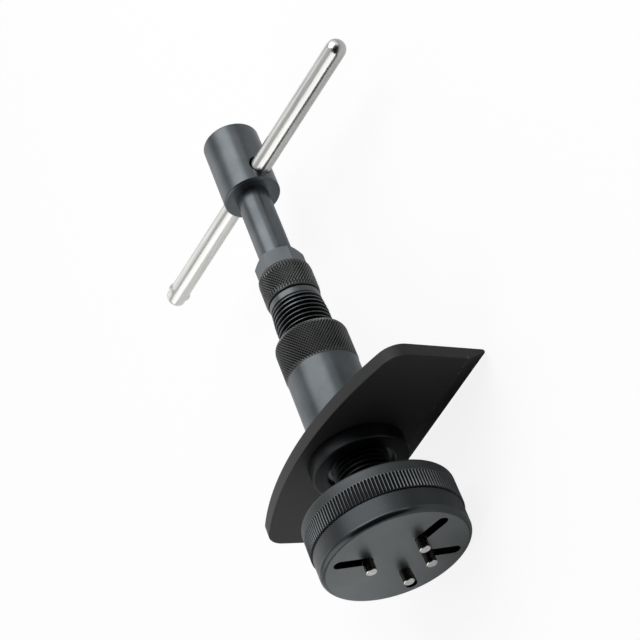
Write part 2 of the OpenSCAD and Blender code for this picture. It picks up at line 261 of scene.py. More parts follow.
def sharp_edges(bm, degrees):
    """Edges whose two faces turn by more than an angle."""
    return [e for e in bm.edges if e.is_manifold and e.calc_face_angle(0) > math.radians(degrees)]


def break_edges(bm, edges, width):
    """Rounds edges off in two steps."""
    bmesh.ops.bevel(
        bm, geom=edges, offset=width, offset_type="OFFSET", segments=2, profile=0.5, affect="EDGES",
        material=-1, clamp_overlap=True,
    )


def repeat(bm, count, step):
    """Adds copies of what bm holds, each moved on by one more step, and joins them."""
    first = whole(bm)
    move = Matrix.Identity(4)
    for _ in range(count - 1):
        move = step @ move
        copy = bmesh.ops.duplicate(bm, geom=first)["geom"]
        bmesh.ops.transform(bm, matrix=move, verts=verts_of(copy))
    bmesh.ops.remove_doubles(bm, verts=bm.verts, dist=MERGE_COPIES)


def cut(bm, cutters):
    """Takes cutter meshes out of bm and frees them."""
    body = put_in_scene("blank", into_mesh(bm, "blank"))
    helpers = [body]
    for cutter in cutters:
        bmesh.ops.recalc_face_normals(cutter, faces=cutter.faces)
        tool = put_in_scene("cutter", into_mesh(cutter, "cutter"))
        helpers.append(tool)
        boolean = body.modifiers.new("cut", "BOOLEAN")
        boolean.operation = "DIFFERENCE"
        boolean.solver = "EXACT"
        boolean.object = tool
    depsgraph = bpy.context.evaluated_depsgraph_get()
    result = bmesh.new()
    result.from_mesh(body.evaluated_get(depsgraph).to_mesh())
    for helper in helpers:
        mesh = helper.data
        bpy.data.objects.remove(helper)
        bpy.data.meshes.remove(mesh)
    bmesh.ops.remove_doubles(result, verts=result.verts, dist=MERGE)
    return result


def knurl(bm, rows, steps):
    """Turns the rows of a spun band into crossing ridges: every second point of the net sinks.

    The net fades out at its ends. The attribute "raised" keeps how far points stand up; the finish paints
    shade on the low points.
    """
    level = 0.5
    fade_rows = 2
    raised = bm.verts.layers.float.new("raised")
    places = {(round(r, 3), round(z, 3)): j for j, (r, z) in enumerate(rows)}
    band = {}
    for v in bm.verts:
        v[raised] = level
        j = places.get((round(off_axis(v.co), 3), round(v.co.z, 3)))
        if j is not None:
            i = round(math.atan2(v.co.y, v.co.x) / math.tau * steps)
            band[v] = j
            v[raised] = (i + j) % 2
    for f in [f for f in bm.faces if len(f.verts) == 4 and all(v in band for v in f.verts)]:
        ridge = [v for v in f.verts if v[raised]]
        bmesh.utils.face_split(f, ridge[0], ridge[1])
    last = len(rows) - 1
    for v, j in band.items():
        fade = min(1, j / fade_rows, (last - j) / fade_rows)
        v[raised] = level + (v[raised] - level) * fade
        before, after = rows[max(j - 1, 0)], rows[min(j + 1, last)]
        normal = Vector((after[1] - before[1], before[0] - after[0])).normalized()
        out = Vector((v.co.x, v.co.y, 0)).normalized()
        v.co -= (1 - v[raised]) * KNURL_DEPTH * (out * normal.x + Vector((0, 0, normal.y)))


def knurl_columns(r):
    """Points round a knurled band: two for each ridge."""
    return 2 * round(math.tau * r / KNURL_PITCH)


def across_head(height):
    """Lays an upright piece into the T-bar's direction, at a height on the axis."""
    turn = Matrix.Rotation(math.radians(BAR_ANGLE), 4, "Z") @ Matrix.Rotation(math.radians(90), 4, "Y")
    return Matrix.Translation((0, 0, height)) @ turn


# Materials

def linear(hex_colour):
    """Linear RGBA of an sRGB hex colour."""
    parts = [int(hex_colour[i:i + 2], 16) / 255 for i in (1, 3, 5)]
    return tuple(c / 12.92 if c <= 0.04045 else ((c + 0.055) / 1.055) ** 2.4 for c in parts) + (1.0,)


def add(tree, kind, settings=None, links=None, stops=()):
    """Adds a node, sets its properties and sockets, and links other nodes' outputs to its inputs.

    Stops are a colour ramp's: places with hex colours.
    """
    node = tree.nodes.new(kind)
    for key, value in (settings or {}).items():
        if isinstance(key, str) and hasattr(node, key):
            setattr(node, key, value)
        else:
            node.inputs[key].default_value = value
    for key, source in (links or {}).items():
        tree.links.new(source, node.inputs[key])
    for number, (place, colour) in enumerate(stops):
        elements = node.color_ramp.elements
        element = elements[number] if number < len(elements) else elements.new(place)
        element.position = place
        element.color = linear(colour)
    return node


def start(name):
    """A new material's tree and its Principled shader."""
    material = bpy.data.materials.new(name)
    material.use_nodes = True
    tree = material.node_tree
    return material, tree, tree.nodes["Principled BSDF"]


def black_oxide_steel(name, tints, gloss, grain_mm=1.4, painted_shade_where_low=None):
    """Turned steel with a black-oxide finish: a blue-grey sheen that varies softly, with faint tool marks.

    Tints run from dark to light, and gloss is the lowest and highest roughness. A last colour, painted
    shade, lies where the attribute "raised" is low, so hollows look dark beside ridges worn light.
    """
    material, tree, shader = start(name)
    cloud_mm = 8 * grain_mm
    place = add(tree, "ShaderNodeTexCoord")
    cloud = add(tree, "ShaderNodeTexNoise", {"Scale": 1 / (cloud_mm * MM), "Detail": 3.0},
                {"Vector": place.outputs["Object"]})
    # Tool marks run round the axis, so they change along X only; they are drawn coarse enough to show
    stretch = add(tree, "ShaderNodeMapping", {"Scale": (1.0, 0.02, 0.02)},
                  {"Vector": place.outputs["Object"]})
    marks = add(tree, "ShaderNodeTexNoise", {"Scale": 1 / (grain_mm * MM), "Detail": 4.0},
                {"Vector": stretch.outputs["Vector"]})
    tint = add(tree, "ShaderNodeValToRGB", links={"Fac": cloud.outputs["Fac"]},
               stops=zip((0.3, 0.7), tints))
    rough = add(tree, "ShaderNodeMapRange", {"To Min": gloss[0], "To Max": gloss[1]},
                {"Value": marks.outputs["Fac"]})
    colour = tint.outputs["Color"]
    if painted_shade_where_low:
        # Where "raised" is low the colour turns to painted shade in the hollows; high ridges keep the tint,
        # worn light
        height = add(tree, "ShaderNodeAttribute", {"attribute_name": "raised"})
        worn = add(tree, "ShaderNodeMapRange", {"From Min": 0.35, "From Max": 0.95},
                   {"Value": height.outputs["Fac"]})
        mix = add(tree, "ShaderNodeMixRGB", {"Color1": linear(painted_shade_where_low)},
                  {"Fac": worn.outputs["Result"], "Color2": colour})
        colour = mix.outputs["Color"]
    tree.links.new(colour, shader.inputs["Base Color"])
    tree.links.new(rough.outputs["Result"], shader.inputs["Roughness"])
    shader.inputs["Metallic"].default_value = 0.9
    return material


def plated_bar():
    """Bright nickel plate on drawn bar: mirror-like, with streaks along the bar from drawing and polishing.

    Real streaks are finer; these are drawn coarse enough to show.
    """
    streak_mm = 0.9
    material, tree, shader = start("bright_nickel_plate")
    place = add(tree, "ShaderNodeTexCoord")
    stretch = add(tree, "ShaderNodeMapping", {"Scale": (1.0, 0.03, 1.0)},
                  {"Vector": place.outputs["Object"]})
    streaks = add(tree, "ShaderNodeTexNoise", {"Scale": 1 / (streak_mm * MM), "Detail": 3.0},
                  {"Vector": stretch.outputs["Vector"]})
    tint = add(tree, "ShaderNodeValToRGB", links={"Fac": streaks.outputs["Fac"]},
               stops=[(0.3, "#d8d8d6"), (0.7, "#eeedea")])
    rough = add(tree, "ShaderNodeMapRange", {"To Min": 0.16, "To Max": 0.3},
                {"Value": streaks.outputs["Fac"]})
    tree.links.new(tint.outputs["Color"], shader.inputs["Base Color"])
    tree.links.new(rough.outputs["Result"], shader.inputs["Roughness"])
    shader.inputs["Metallic"].default_value = 1.0
    return material


def bare_metal(name, tints, roughness):
    """Ground, polished or pressed bare metal: bright, with a slight mottle drawn coarse enough to show."""
    mottle_mm = 1.2
    material, tree, shader = start(name)
    place = add(tree, "ShaderNodeTexCoord")
    mottle = add(tree, "ShaderNodeTexNoise", {"Scale": 1 / (mottle_mm * MM), "Detail": 2.0},
                 {"Vector": place.outputs["Object"]})
    tint = add(tree, "ShaderNodeValToRGB", links={"Fac": mottle.outputs["Fac"]},
               stops=zip((0.35, 0.65), tints))
    tree.links.new(tint.outputs["Color"], shader.inputs["Base Color"])
    shader.inputs["Metallic"].default_value = 1.0
    shader.inputs["Roughness"].default_value = roughness
    return material


def paint_chips(tree, place):
    """Mask of chipped paint: on the underside near the bevel's foot, thinning out from one end."""
    chip_mm = 2.0
    reach = 1.6
    plate_end, last_chip = -52, -8
    underside = PLATE_LOW + 1.2
    fade_depth = 0.6
    split = add(tree, "ShaderNodeSeparateXYZ", links={"Vector": place.outputs["Object"]})
    foot = add(tree, "ShaderNodeMath", {"operation": "ADD", 1: (PLATE_EDGE - BEVEL_W) * MM},
               {0: split.outputs["Z"]})
    away = add(tree, "ShaderNodeMath", {"operation": "ABSOLUTE"}, {0: foot.outputs["Value"]})
    near = add(tree, "ShaderNodeMapRange", {"From Max": reach * MM, "To Min": 0.17, "To Max": -0.2},
               {"Value": away.outputs["Value"]})
    end = add(tree, "ShaderNodeMapRange",
              {"From Min": plate_end * MM, "From Max": last_chip * MM, "To Max": -0.3},
              {"Value": split.outputs["Y"]})
    low = add(tree, "ShaderNodeMapRange",
              {"From Min": underside * MM, "From Max": (underside + fade_depth) * MM, "To Max": -0.5},
              {"Value": split.outputs["X"]})
    chips = add(tree, "ShaderNodeTexNoise",
                {"Scale": 1 / (chip_mm * MM), "Detail": 5.0, "Roughness": 0.65},
                {"Vector": place.outputs["Object"]})
    worn = chips.outputs["Fac"]
    for share in (near, end, low):
        both = add(tree, "ShaderNodeMath", {"operation": "ADD"}, {0: worn, 1: share.outputs["Result"]})
        worn = both.outputs["Value"]
    return add(tree, "ShaderNodeMapRange", {"From Min": 0.58, "From Max": 0.68}, {"Value": worn})


def satin_black_paint():
    """Satin black stove paint: deep black with a soft sheen and fine orange peel, and a few bare chips."""
    peel_mm = 0.8
    peel_depth = 0.05
    material, tree, shader = start("satin_black_paint")
    place = add(tree, "ShaderNodeTexCoord")
    peel = add(tree, "ShaderNodeTexNoise", {"Scale": 1 / (peel_mm * MM), "Detail": 2.0},
               {"Vector": place.outputs["Object"]})
    bump = add(tree, "ShaderNodeBump", {"Strength": 0.06, "Distance": peel_depth * MM},
               {"Height": peel.outputs["Fac"]})
    mask = paint_chips(tree, place)
    tint = add(tree, "ShaderNodeValToRGB", links={"Fac": mask.outputs["Result"]},
               stops=[(0.0, "#292929"), (1.0, "#6e6e6b")])
    tree.links.new(bump.outputs["Normal"], shader.inputs["Normal"])
    tree.links.new(tint.outputs["Color"], shader.inputs["Base Color"])
    tree.links.new(mask.outputs["Result"], shader.inputs["Metallic"])
    shader.inputs["Specular IOR Level"].default_value = 0.36
    shader.inputs["Roughness"].default_value = 0.5
    return material


SATIN = (0.26, 0.34)
DISC_GRAIN = 2.0

# Spindle and screw: blue-grey satin
STEEL = black_oxide_steel("black_oxide_steel", ("#5c6164", "#6b7073"), SATIN)
# Screw's collar: ridges worn to a pale grey, with nearly black painted shade in the hollows
KNURL = black_oxide_steel("black_oxide_knurl", ("#7d7f7e", "#8e908f"), SATIN, painted_shade_where_low="#131414")
# Nut sleeve: the same satin, a shade darker, and so are its ridges; its knurl's hollows take nearly black
# painted shade
SLEEVE = black_oxide_steel("black_oxide_sleeve", ("#555a5d", "#63686b"), SATIN)
SLEEVE_KNURL = black_oxide_steel(
    "black_oxide_coarse_knurl", ("#6f7170", "#7f8180"), SATIN, painted_shade_where_low="#0d0e0e"
)
# Near-black: on the thread's flanks, and as painted shade inside holes and slots
THREAD = black_oxide_steel("near_black_flanks_and_painted_shade", ("#191a1b", "#232425"), (0.30, 0.40))
# Retaining ring, and the thread's crests near it: nearly black painted shade under the plate, with a dull
# sheen
RETAINER = black_oxide_steel("black_oxide_painted_shade", ("#25272a", "#2f3133"), (0.34, 0.42))
# Adjuster ring: matt dark grey, with no clear reflection
ADAPTER = black_oxide_steel("matt_black_oxide", ("#4a4d4f", "#535658"), (0.42, 0.52), DISC_GRAIN)
# Face plate: light grey, partly from grinding on its face and partly painted light; painted shade darkens
# it up its side
FACE = black_oxide_steel(
    "ground_face_with_painted_light", ("#6f7374", "#797d7e"), (0.30, 0.38), DISC_GRAIN, painted_shade_where_low="#404345"
)
# Face plate's rounded rim: smooth enough to mirror the dark and light sides of the room
RIM = black_oxide_steel("polished_black_oxide_rim", ("#474b4d", "#505456"), (0.15, 0.22), DISC_GRAIN)
# Flutes: glinting crests between hollows blackened with painted shade
FLUTES = black_oxide_steel("black_oxide_flutes", ("#585c5e", "#676b6d"), (0.22, 0.30), painted_shade_where_low="#121314")
PLATE_PAINT = satin_black_paint()
NICKEL = plated_bar()
# Pins: a bright end, and sides darkened to brown with painted shade
PIN_TIP = bare_metal("polished_pin_steel", ("#cbcbc9", "#e2e1de"), 0.18)
PIN_SIDE = bare_metal("pin_steel_painted_shade", ("#4a4844", "#5a5752"), 0.22)
# Bearing: bright races and balls in a yellow cage
BEARING = bare_metal("ground_bearing_steel", ("#a4a6a8", "#b9babc"), 0.25)
BRASS = bare_metal("pressed_cage_brass", ("#a5803c", "#b8914a"), 0.35)
# Circlips, washer and hub pin: plain grey
SPRING = bare_metal("spring_steel", ("#6d7073", "#7d8083"), 0.35)


# Turned and cut pieces

def make_spindle():
    """T-head with its cross hole, and the shank down through the screw."""
    low = station("spindle", 0)
    top = station("spindle", 1)
    head_r = radius("spindle")
    head_length = 31
    head_low = top - head_length
    edge = 1.0
    spigot_r = 5
    hole_r = 4.6
    countersink = 1.0
    wall_r = hole_r + 0.05
    painted_shade_r = hole_r + 0.8
    points = [(0, low), (spigot_r, low), (spigot_r, HUB_TOP), (SHANK_R, HUB_TOP), (SHANK_R, head_low)]
    points += arc((head_r - edge, head_low + edge), edge, -90, 0, 5)
    points += arc((head_r - edge, top - edge), edge, 0, 90, 5)
    points += [(0, top)]
    across = across_head(BAR_HEIGHT)
    hole = rod(hole_r, 4 * head_r, 64)
    bmesh.ops.transform(hole, matrix=across, verts=hole.verts)
    bm = cut(turned(points), [hole])
    way = across.to_3x3() @ Vector((0, 0, 1))

    def from_hole(v):
        offset = v.co - across.translation
        return (offset - way * offset.dot(way)).length

    rims = [e for e in sharp_edges(bm, 40) if all(from_hole(v) < wall_r for v in e.verts)]
    break_edges(bm, rims, countersink)
    # Faces inside the cross hole take the near-black finish: painted shade
    for f in bm.faces:
        f.material_index = 1 if all(from_hole(v) < painted_shade_r for v in f.verts) else 0
    link(bm, "spindle_turned", "spindle", ["spindle"], [STEEL, THREAD])


def make_bar():
    """T-bar: one domed end, and a pair of ears pinched up near the other end."""
    length = 144.7
    shift = 4.25
    end_round = 1.8
    ear_r = 4.75
    ear_low = length - 7.7
    plain_top = ear_low - 0.4
    ear_steps = 16
    ear_step = 0.3
    ear_turn = math.radians(128)
    pinch = 4
    rest_low = 0.5
    points = arc((0, BAR_R), BAR_R, -90, 0, 16)
    points += [(BAR_R, plain_top)]
    swell = [0.5 - 0.5 * math.cos(math.tau * k / ear_steps) for k in range(ear_steps + 1)]
    points += [(BAR_R + (ear_r - BAR_R) * h, ear_low + ear_step * k) for k, h in enumerate(swell)]
    points += arc((BAR_R - end_round, length - end_round), end_round, 0, 90, 8)
    points += [(0, length)]
    bm = turned(points, 64)
    # The swelling keeps its height on two sides only
    for v in bm.verts:
        r = off_axis(v.co)
        if r > BAR_R:
            share = math.cos(math.atan2(v.co.y, v.co.x) - ear_turn) ** pinch
            widen(v, (BAR_R + (r - BAR_R) * share) / r)
    # It rests a little low in its loose hole
    place = across_head(BAR_HEIGHT - rest_low) @ Matrix.Translation((0, 0, -shift - length / 2))
    bmesh.ops.transform(bm, matrix=place, verts=bm.verts)
    link(bm, "t_bar_drawn", "bar", ["t_bar"], [NICKEL])


def thread_helix():
    """One V tooth swept once round, and its copies up the screw; its flanks take the second material."""
    steps = 64
    turns_over = 3
    first_low = SCREW_LOW - 2 * PITCH
    shoulder_r = THREAD_R - 0.12
    crest_r = THREAD_R - 0.2
    tooth = [(ROOT_R, 0), (ROOT_R, 0.4), (shoulder_r, 0.95), (THREAD_R, 1.1), (THREAD_R, 1.3)]
    tooth += [(shoulder_r, 1.45), (ROOT_R, PITCH)]
    bm = bmesh.new()
    geom = profile_chain(bm, [(r, z + first_low) for r, z in tooth])
    bmesh.ops.spin(
        bm, geom=geom, cent=(0, 0, 0), axis=(0, 0, 1), dvec=(0, 0, PITCH / steps),
        angle=math.tau, steps=steps, use_merge=False,
    )
    for f in bm.faces:
        f.material_index = 0 if min(off_axis(v.co) for v in f.verts) > crest_r else 1
    turns = math.ceil(THREAD_LENGTH / PITCH) + turns_over
    repeat(bm, turns, Matrix.Translation((0, 0, PITCH)))
    return bm


def taper_thread(bm):
    """Draws the thread in at its lower end and runs it out onto the shoulder at its upper end."""
    lead_in = 1.2
    rise = 0.4
    for v in bm.verts:
        r = off_axis(v.co)
        up = v.co.z - SCREW_LOW
        left = THREAD_TOP - v.co.z
        runout_r = THREAD_R - (THREAD_R - SHOULDER_R) * (1 - left / RUNOUT)
        lead_r = ROOT_R + up * THREAD_DEPTH / lead_in
        crest_r = min(runout_r, lead_r, THREAD_R)
        valley_r = max(ROOT_R, SHOULDER_R - left * rise)
        wanted = max(min(r, crest_r), min(valley_r, SHOULDER_R), ROOT_R)
        widen(v, wanted / r)


def close_thread(bm):
    """Cuts the thread's ends off square, closes them onto the bore and joins the bore's ends."""
    touch = 1e-3
    for height, way in ((SCREW_LOW, -1), (THREAD_TOP, 1)):
        bmesh.ops.bisect_plane(
            bm, geom=whole(bm), plane_co=(0, 0, height), plane_no=(0, 0, way), clear_outer=True
        )
        rim = [
            e for e in bm.edges
            if e.is_boundary and all(abs(v.co.z - height) < touch for v in e.verts)
        ]
        bore = bmesh.ops.create_circle(bm, segments=96, radius=BORE_R)["verts"]
        bmesh.ops.translate(bm, vec=(0, 0, height), verts=bore)
        bmesh.ops.bridge_loops(bm, edges=rim + edges_at(bore))
    bmesh.ops.bridge_loops(bm, edges=[e for e in bm.edges if e.is_boundary])


def make_thread():
    """The screw's thread; below the plate its crests take painted shade."""
    bm = thread_helix()
    # Crests below the plate take the nearly black finish: painted shade
    for f in bm.faces:
        if f.material_index == 0 and f.calc_center_median().z < PLATE_LOW:
            f.material_index = 2
    taper_thread(bm)
    close_thread(bm)
    finishes = [STEEL, THREAD, RETAINER]
    link(bm, "screw_thread", "screw", ["thrust_screw"], finishes, smooth=30)


def make_collar():
    """Plain shoulder, groove and diamond-knurled collar of the screw."""
    collar_r = radius("thrust_screw")
    groove_r = SHOULDER_R - 0.5
    groove_low = COLLAR_LOW - 0.5
    chamfer = 0.4
    edge = 0.15
    columns = knurl_columns(collar_r)
    band = spaced([(collar_r, COLLAR_LOW + chamfer), (collar_r, HEX_LOW - chamfer)], 16)
    points = [(BORE_R, THREAD_TOP), (SHOULDER_R, THREAD_TOP), (SHOULDER_R, groove_low - edge)]
    points += [(SHOULDER_R - edge, groove_low), (groove_r, groove_low), (groove_r, COLLAR_LOW)]
    points += [(collar_r - chamfer, COLLAR_LOW)]
    points += band
    points += [(collar_r - chamfer, HEX_LOW), (BORE_R, HEX_LOW)]
    bm = turned(points, columns, closed=True)
    knurl(bm, band, columns)
    for f in bm.faces:
        f.material_index = 1 if f.calc_center_median().z > COLLAR_LOW else 0
    link(bm, "screw_collar", "screw", [], [STEEL, KNURL], smooth=20)


def make_hexagon():
    """Hexagon of the screw: a chamfered blank shorn on six sides, with the circlip's recess inside."""
    flat = 8.5
    first_side = 57
    corner_r = 9.72
    top_r = flat - 0.1
    chamfer_low = SCREW_TOP - 0.6 * (corner_r - top_r)
    recess_r = 7.5
    recess_low = SCREW_TOP - 2.1
    points = [(BORE_R, HEX_LOW), (corner_r, HEX_LOW), (corner_r, chamfer_low)]
    points += [(top_r, SCREW_TOP), (recess_r, SCREW_TOP), (recess_r, recess_low), (BORE_R, recess_low)]
    bm = turned(points, closed=True)
    for side in range(6):
        turn = math.radians(first_side + 60 * side)
        away = Vector((math.cos(turn), math.sin(turn), 0))
        shear(bm, away * flat, away)
    link(bm, "screw_hexagon", "screw", [], [STEEL], smooth=12)


def make_sleeve():
    """Nut sleeve: spigot, plain barrel and a diamond-knurled end with a round shoulder."""
    low = station("nut_sleeve", 0)
    top = station("nut_sleeve", 1)
    knurl_r = radius("nut_sleeve")
    knurl_low = top - 16.6
    barrel_r = 13.8
    barrel_low = PLATE_TOP - 0.3
    spigot_r = 12.3
    nut_r = THREAD_R + TURNING_GAP
    countersink = 1
    edge = 0.2
    knurl_step = 0.15
    round_r = 2.4
    round_at = (knurl_r - round_r, top - round_r)
    columns = knurl_columns(knurl_r)
    band = spaced([(knurl_r, knurl_low + knurl_step)] + arc(round_at, round_r, 0, 75, 8), 23)
    points = [(nut_r, low), (spigot_r, low), (spigot_r, barrel_low), (barrel_r - edge, barrel_low)]
    points += [(barrel_r, barrel_low + edge), (barrel_r, knurl_low)]
    points += band
    points += arc(round_at, round_r, 80, 90, 2)
    points += [(nut_r + countersink, top), (nut_r, top - countersink)]
    bm = turned(points, columns, closed=True)
    knurl(bm, band, columns)
    for f in bm.faces:
        f.material_index = 1 if f.calc_center_median().z > knurl_low else 0
    finishes = [SLEEVE, SLEEVE_KNURL]
    link(bm, "nut_sleeve_knurled", "sleeve", ["nut_sleeve"], finishes, smooth=20)


def make_retainer():
    """Ring below the plate."""
    low = station("plate_retaining_ring", 0)
    top = station("plate_retaining_ring", 1)
    outer = radius("plate_retaining_ring")
    inner = 12.32
    inner_edge = 0.7
    outer_edge = 0.8
    top_edge = 0.4
    points = [(inner, top), (inner, low + inner_edge)]
    points += arc((inner + inner_edge, low + inner_edge), inner_edge, 180, 270, 3)
    points += arc((outer - outer_edge, low + outer_edge), outer_edge, -90, 0, 4)
    points += [(outer, top - top_edge), (outer - top_edge, top)]
    bm = turned(points, closed=True)
    nodes = ["plate_retaining_ring"]
    link(bm, "retaining_ring_turned", "sleeve", nodes, [RETAINER])


def plate_outline():
    """Outline of the reaction plate, led round by spins; its ends spread toward the bowed edge."""
    half = 105.3 / 2
    lean = math.radians(1.9)
    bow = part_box("reaction_plate")[1].z / MM
    bow_r = 138.0
    bow_corner = 8.5
    edge_corner = 1.5
    edge_steps, corner_steps, bow_steps = 8, 14, 64
    edge_x = PLATE_EDGE - edge_corner
    edge_y = half - edge_corner * (1 - math.sin(lean)) / math.cos(lean)
    # The bow's corner circles touch the bow from inside
    bow_x = bow_r - bow
    inner_r = bow_r - bow_corner
    rise = half + (PLATE_EDGE * math.sin(lean) - bow_corner) / math.cos(lean)
    half_b = bow_x + rise * math.tan(lean)
    rest = (bow_x ** 2 + rise ** 2 - inner_r ** 2) / math.cos(lean) ** 2
    corner_x = (half_b - math.sqrt(half_b ** 2 - rest)) * math.cos(lean) ** 2
    corner_y = rise - corner_x * math.tan(lean)
    bow_turn = math.asin(corner_y / inner_r)
    end_normal = math.pi / 2 - lean
    corner_turn = math.pi - bow_turn - end_normal
    across, along = math.cos(end_normal), math.sin(end_normal)
    bm = bmesh.new()

    def onward(last, x, y):
        v = bm.verts.new((x, y, PLATE_LOW))
        bm.edges.new((last, v))
        return v

    first = bm.verts.new((edge_x + edge_corner * across, -edge_y - edge_corner * along, PLATE_LOW))
    last = lead_round(bm, first, (edge_x, -edge_y), end_normal, edge_steps)
    last = onward(last, PLATE_EDGE, edge_y)
    last = lead_round(bm, last, (edge_x, edge_y), end_normal, edge_steps)
    last = onward(last, corner_x + bow_corner * across, corner_y + bow_corner * along)
    last = lead_round(bm, last, (corner_x, corner_y), corner_turn, corner_steps)
    last = lead_round(bm, last, (bow_x, 0), 2 * bow_turn, bow_steps)
    last = lead_round(bm, last, (corner_x, -corner_y), corner_turn, corner_steps)
    bm.edges.new((last, first))
    return bm


def make_plate():
    """Reaction plate: outline and hole, thickened, bevelled below its straight edge and edge-broken."""
    thickness = PLATE_TOP - PLATE_LOW
    hole_r = 12.38
    hole_steps = 120
    seat_r = 14.4
    seat_depth = 0.4
    edge = 0.3
    rim_r = seat_r + 1
    level = 0.4 * thickness
    bm = plate_outline()
    outline = bm.edges[:]
    hole = bmesh.ops.create_circle(bm, segments=hole_steps, radius=hole_r)["verts"]
    bmesh.ops.translate(bm, vec=(0, 0, PLATE_LOW), verts=hole)
    bmesh.ops.bridge_loops(bm, edges=outline + edges_at(hole))
    thicken(bm, thickness)
    bmesh.ops.recalc_face_normals(bm, faces=bm.faces)
    shear(bm, (PLATE_EDGE - BEVEL_W, 0, PLATE_LOW), Vector((BEVEL_H, 0, -BEVEL_W)).normalized())
    bmesh.ops.recalc_face_normals(bm, faces=bm.faces)
    seat = rod(seat_r, 2 * seat_depth, hole_steps)
    bmesh.ops.translate(seat, vec=(0, 0, PLATE_TOP), verts=seat.verts)
    bm = cut(bm, [seat])
    rims = [
        e for e in sharp_edges(bm, 20)
        if min(off_axis(v.co) for v in e.verts) > rim_r
        and abs(e.verts[0].co.z - e.verts[1].co.z) < level
    ]
    break_edges(bm, rims, edge)
    finishes = [PLATE_PAINT]
    link(bm, "reaction_plate_painted", "plate", ["reaction_plate"], finishes, smooth=28)


def slot_cutter(bearing):
    """Solid with the shape of a pin's slot, from below the face up to the slot's floor."""
    r_in = PIN_CLOSED_R
    r_out = PIN_CLOSED_R + PIN_TRAVEL
    half_width = GUIDE_R + TURNING_GAP
    low = -1
    steps = 16
    bm = bmesh.new()
    right = bm.verts.new((r_out, -half_width, low))
    end = lead_round(bm, right, (r_out, 0), math.pi, steps)
    left = bm.verts.new((r_in, half_width, low))
    bm.edges.new((end, left))
    end = lead_round(bm, left, (r_in, 0), math.pi, steps)
    bm.edges.new((end, right))
    bmesh.ops.holes_fill(bm, edges=bm.edges[:])
    thicken(bm, SLOT_DEPTH - low)
    turn = Matrix.Rotation(math.radians(SLOT_ANGLE + bearing), 4, "Z")
    bmesh.ops.transform(bm, matrix=turn, verts=bm.verts)
    return bm


def make_face():
    """Face plate: round-edged disc with its hub and four slots, with painted shade inside them; its rim is
    polished.
    """
    edge = 2.0
    top_edge = 0.4
    mouth_edge = 0.22
    face_level = 0.01
    rim_low = 0.05
    slot_low, slot_top = 0.15, SLOT_DEPTH + 0.1
    slots_r = FACE_R - 1.5 * edge
    points = [(0, 0)] + arc((FACE_R - edge, edge), edge, -90, 0, 10)
    points += arc((FACE_R - top_edge, FACE_TOP - top_edge), top_edge, 0, 90, 3)
    points += [(HUB_R, FACE_TOP), (HUB_R, HUB_TOP), (0, HUB_TOP)]
    bm = cut(turned(points), [slot_cutter(bearing) for bearing in SLOT_BEARINGS])
    mouths = [e for e in sharp_edges(bm, 60) if all(abs(v.co.z) < face_level for v in e.verts)]
    break_edges(bm, mouths, mouth_edge)
    # How far a point lies up from the face, for the face plate's painted shade up its side
    raised = bm.verts.layers.float.new("raised")
    for v in bm.verts:
        v[raised] = max(0.0, 1 - v.co.z / edge)
    for f in bm.faces:
        middle = f.calc_center_median()
        out = off_axis(middle)
        # Slot walls take the near-black finish: painted shade
        in_slot = slot_low < middle.z < slot_top and out < slots_r
        on_rim = rim_low < middle.z < edge and out > FACE_R - edge
        f.material_index = 1 if in_slot else 2 if on_rim else 0
    link(bm, "face_plate_turned", "spindle", ["face_plate"], [FACE, THREAD, RIM])


def make_pin(number, bearing):
    """Drive pin with an edge-broken tip, thicker where the slot guides it."""
    name = f"drive_pin_{number}"
    tip = station(name, 0)
    top = station(name, 1)
    edge = 0.2
    guide_low, guide_top = -0.2, 5.0
    stub_r = 1.5
    points = [(0, tip), (PIN_R - edge, tip), (PIN_R, tip + edge), (PIN_R, guide_low)]
    points += [(GUIDE_R, guide_low), (GUIDE_R, guide_top), (stub_r, guide_top), (stub_r, top), (0, top)]
    bm = turned(points, 48)
    # The tip keeps the bright steel; the sides take painted shade
    for f in bm.faces:
        f.material_index = 0 if f.calc_center_median().z < tip + edge else 1
    turn = Matrix.Rotation(math.radians(SLOT_ANGLE + bearing), 4, "Z")
    place = turn @ Matrix.Translation((PIN_CLOSED_R, 0, 0))
    bmesh.ops.transform(bm, matrix=place, verts=bm.verts)
    finishes = [PIN_TIP, PIN_SIDE]
    link(bm, f"{name}_polished", f"pin_{number}", [name], finishes)


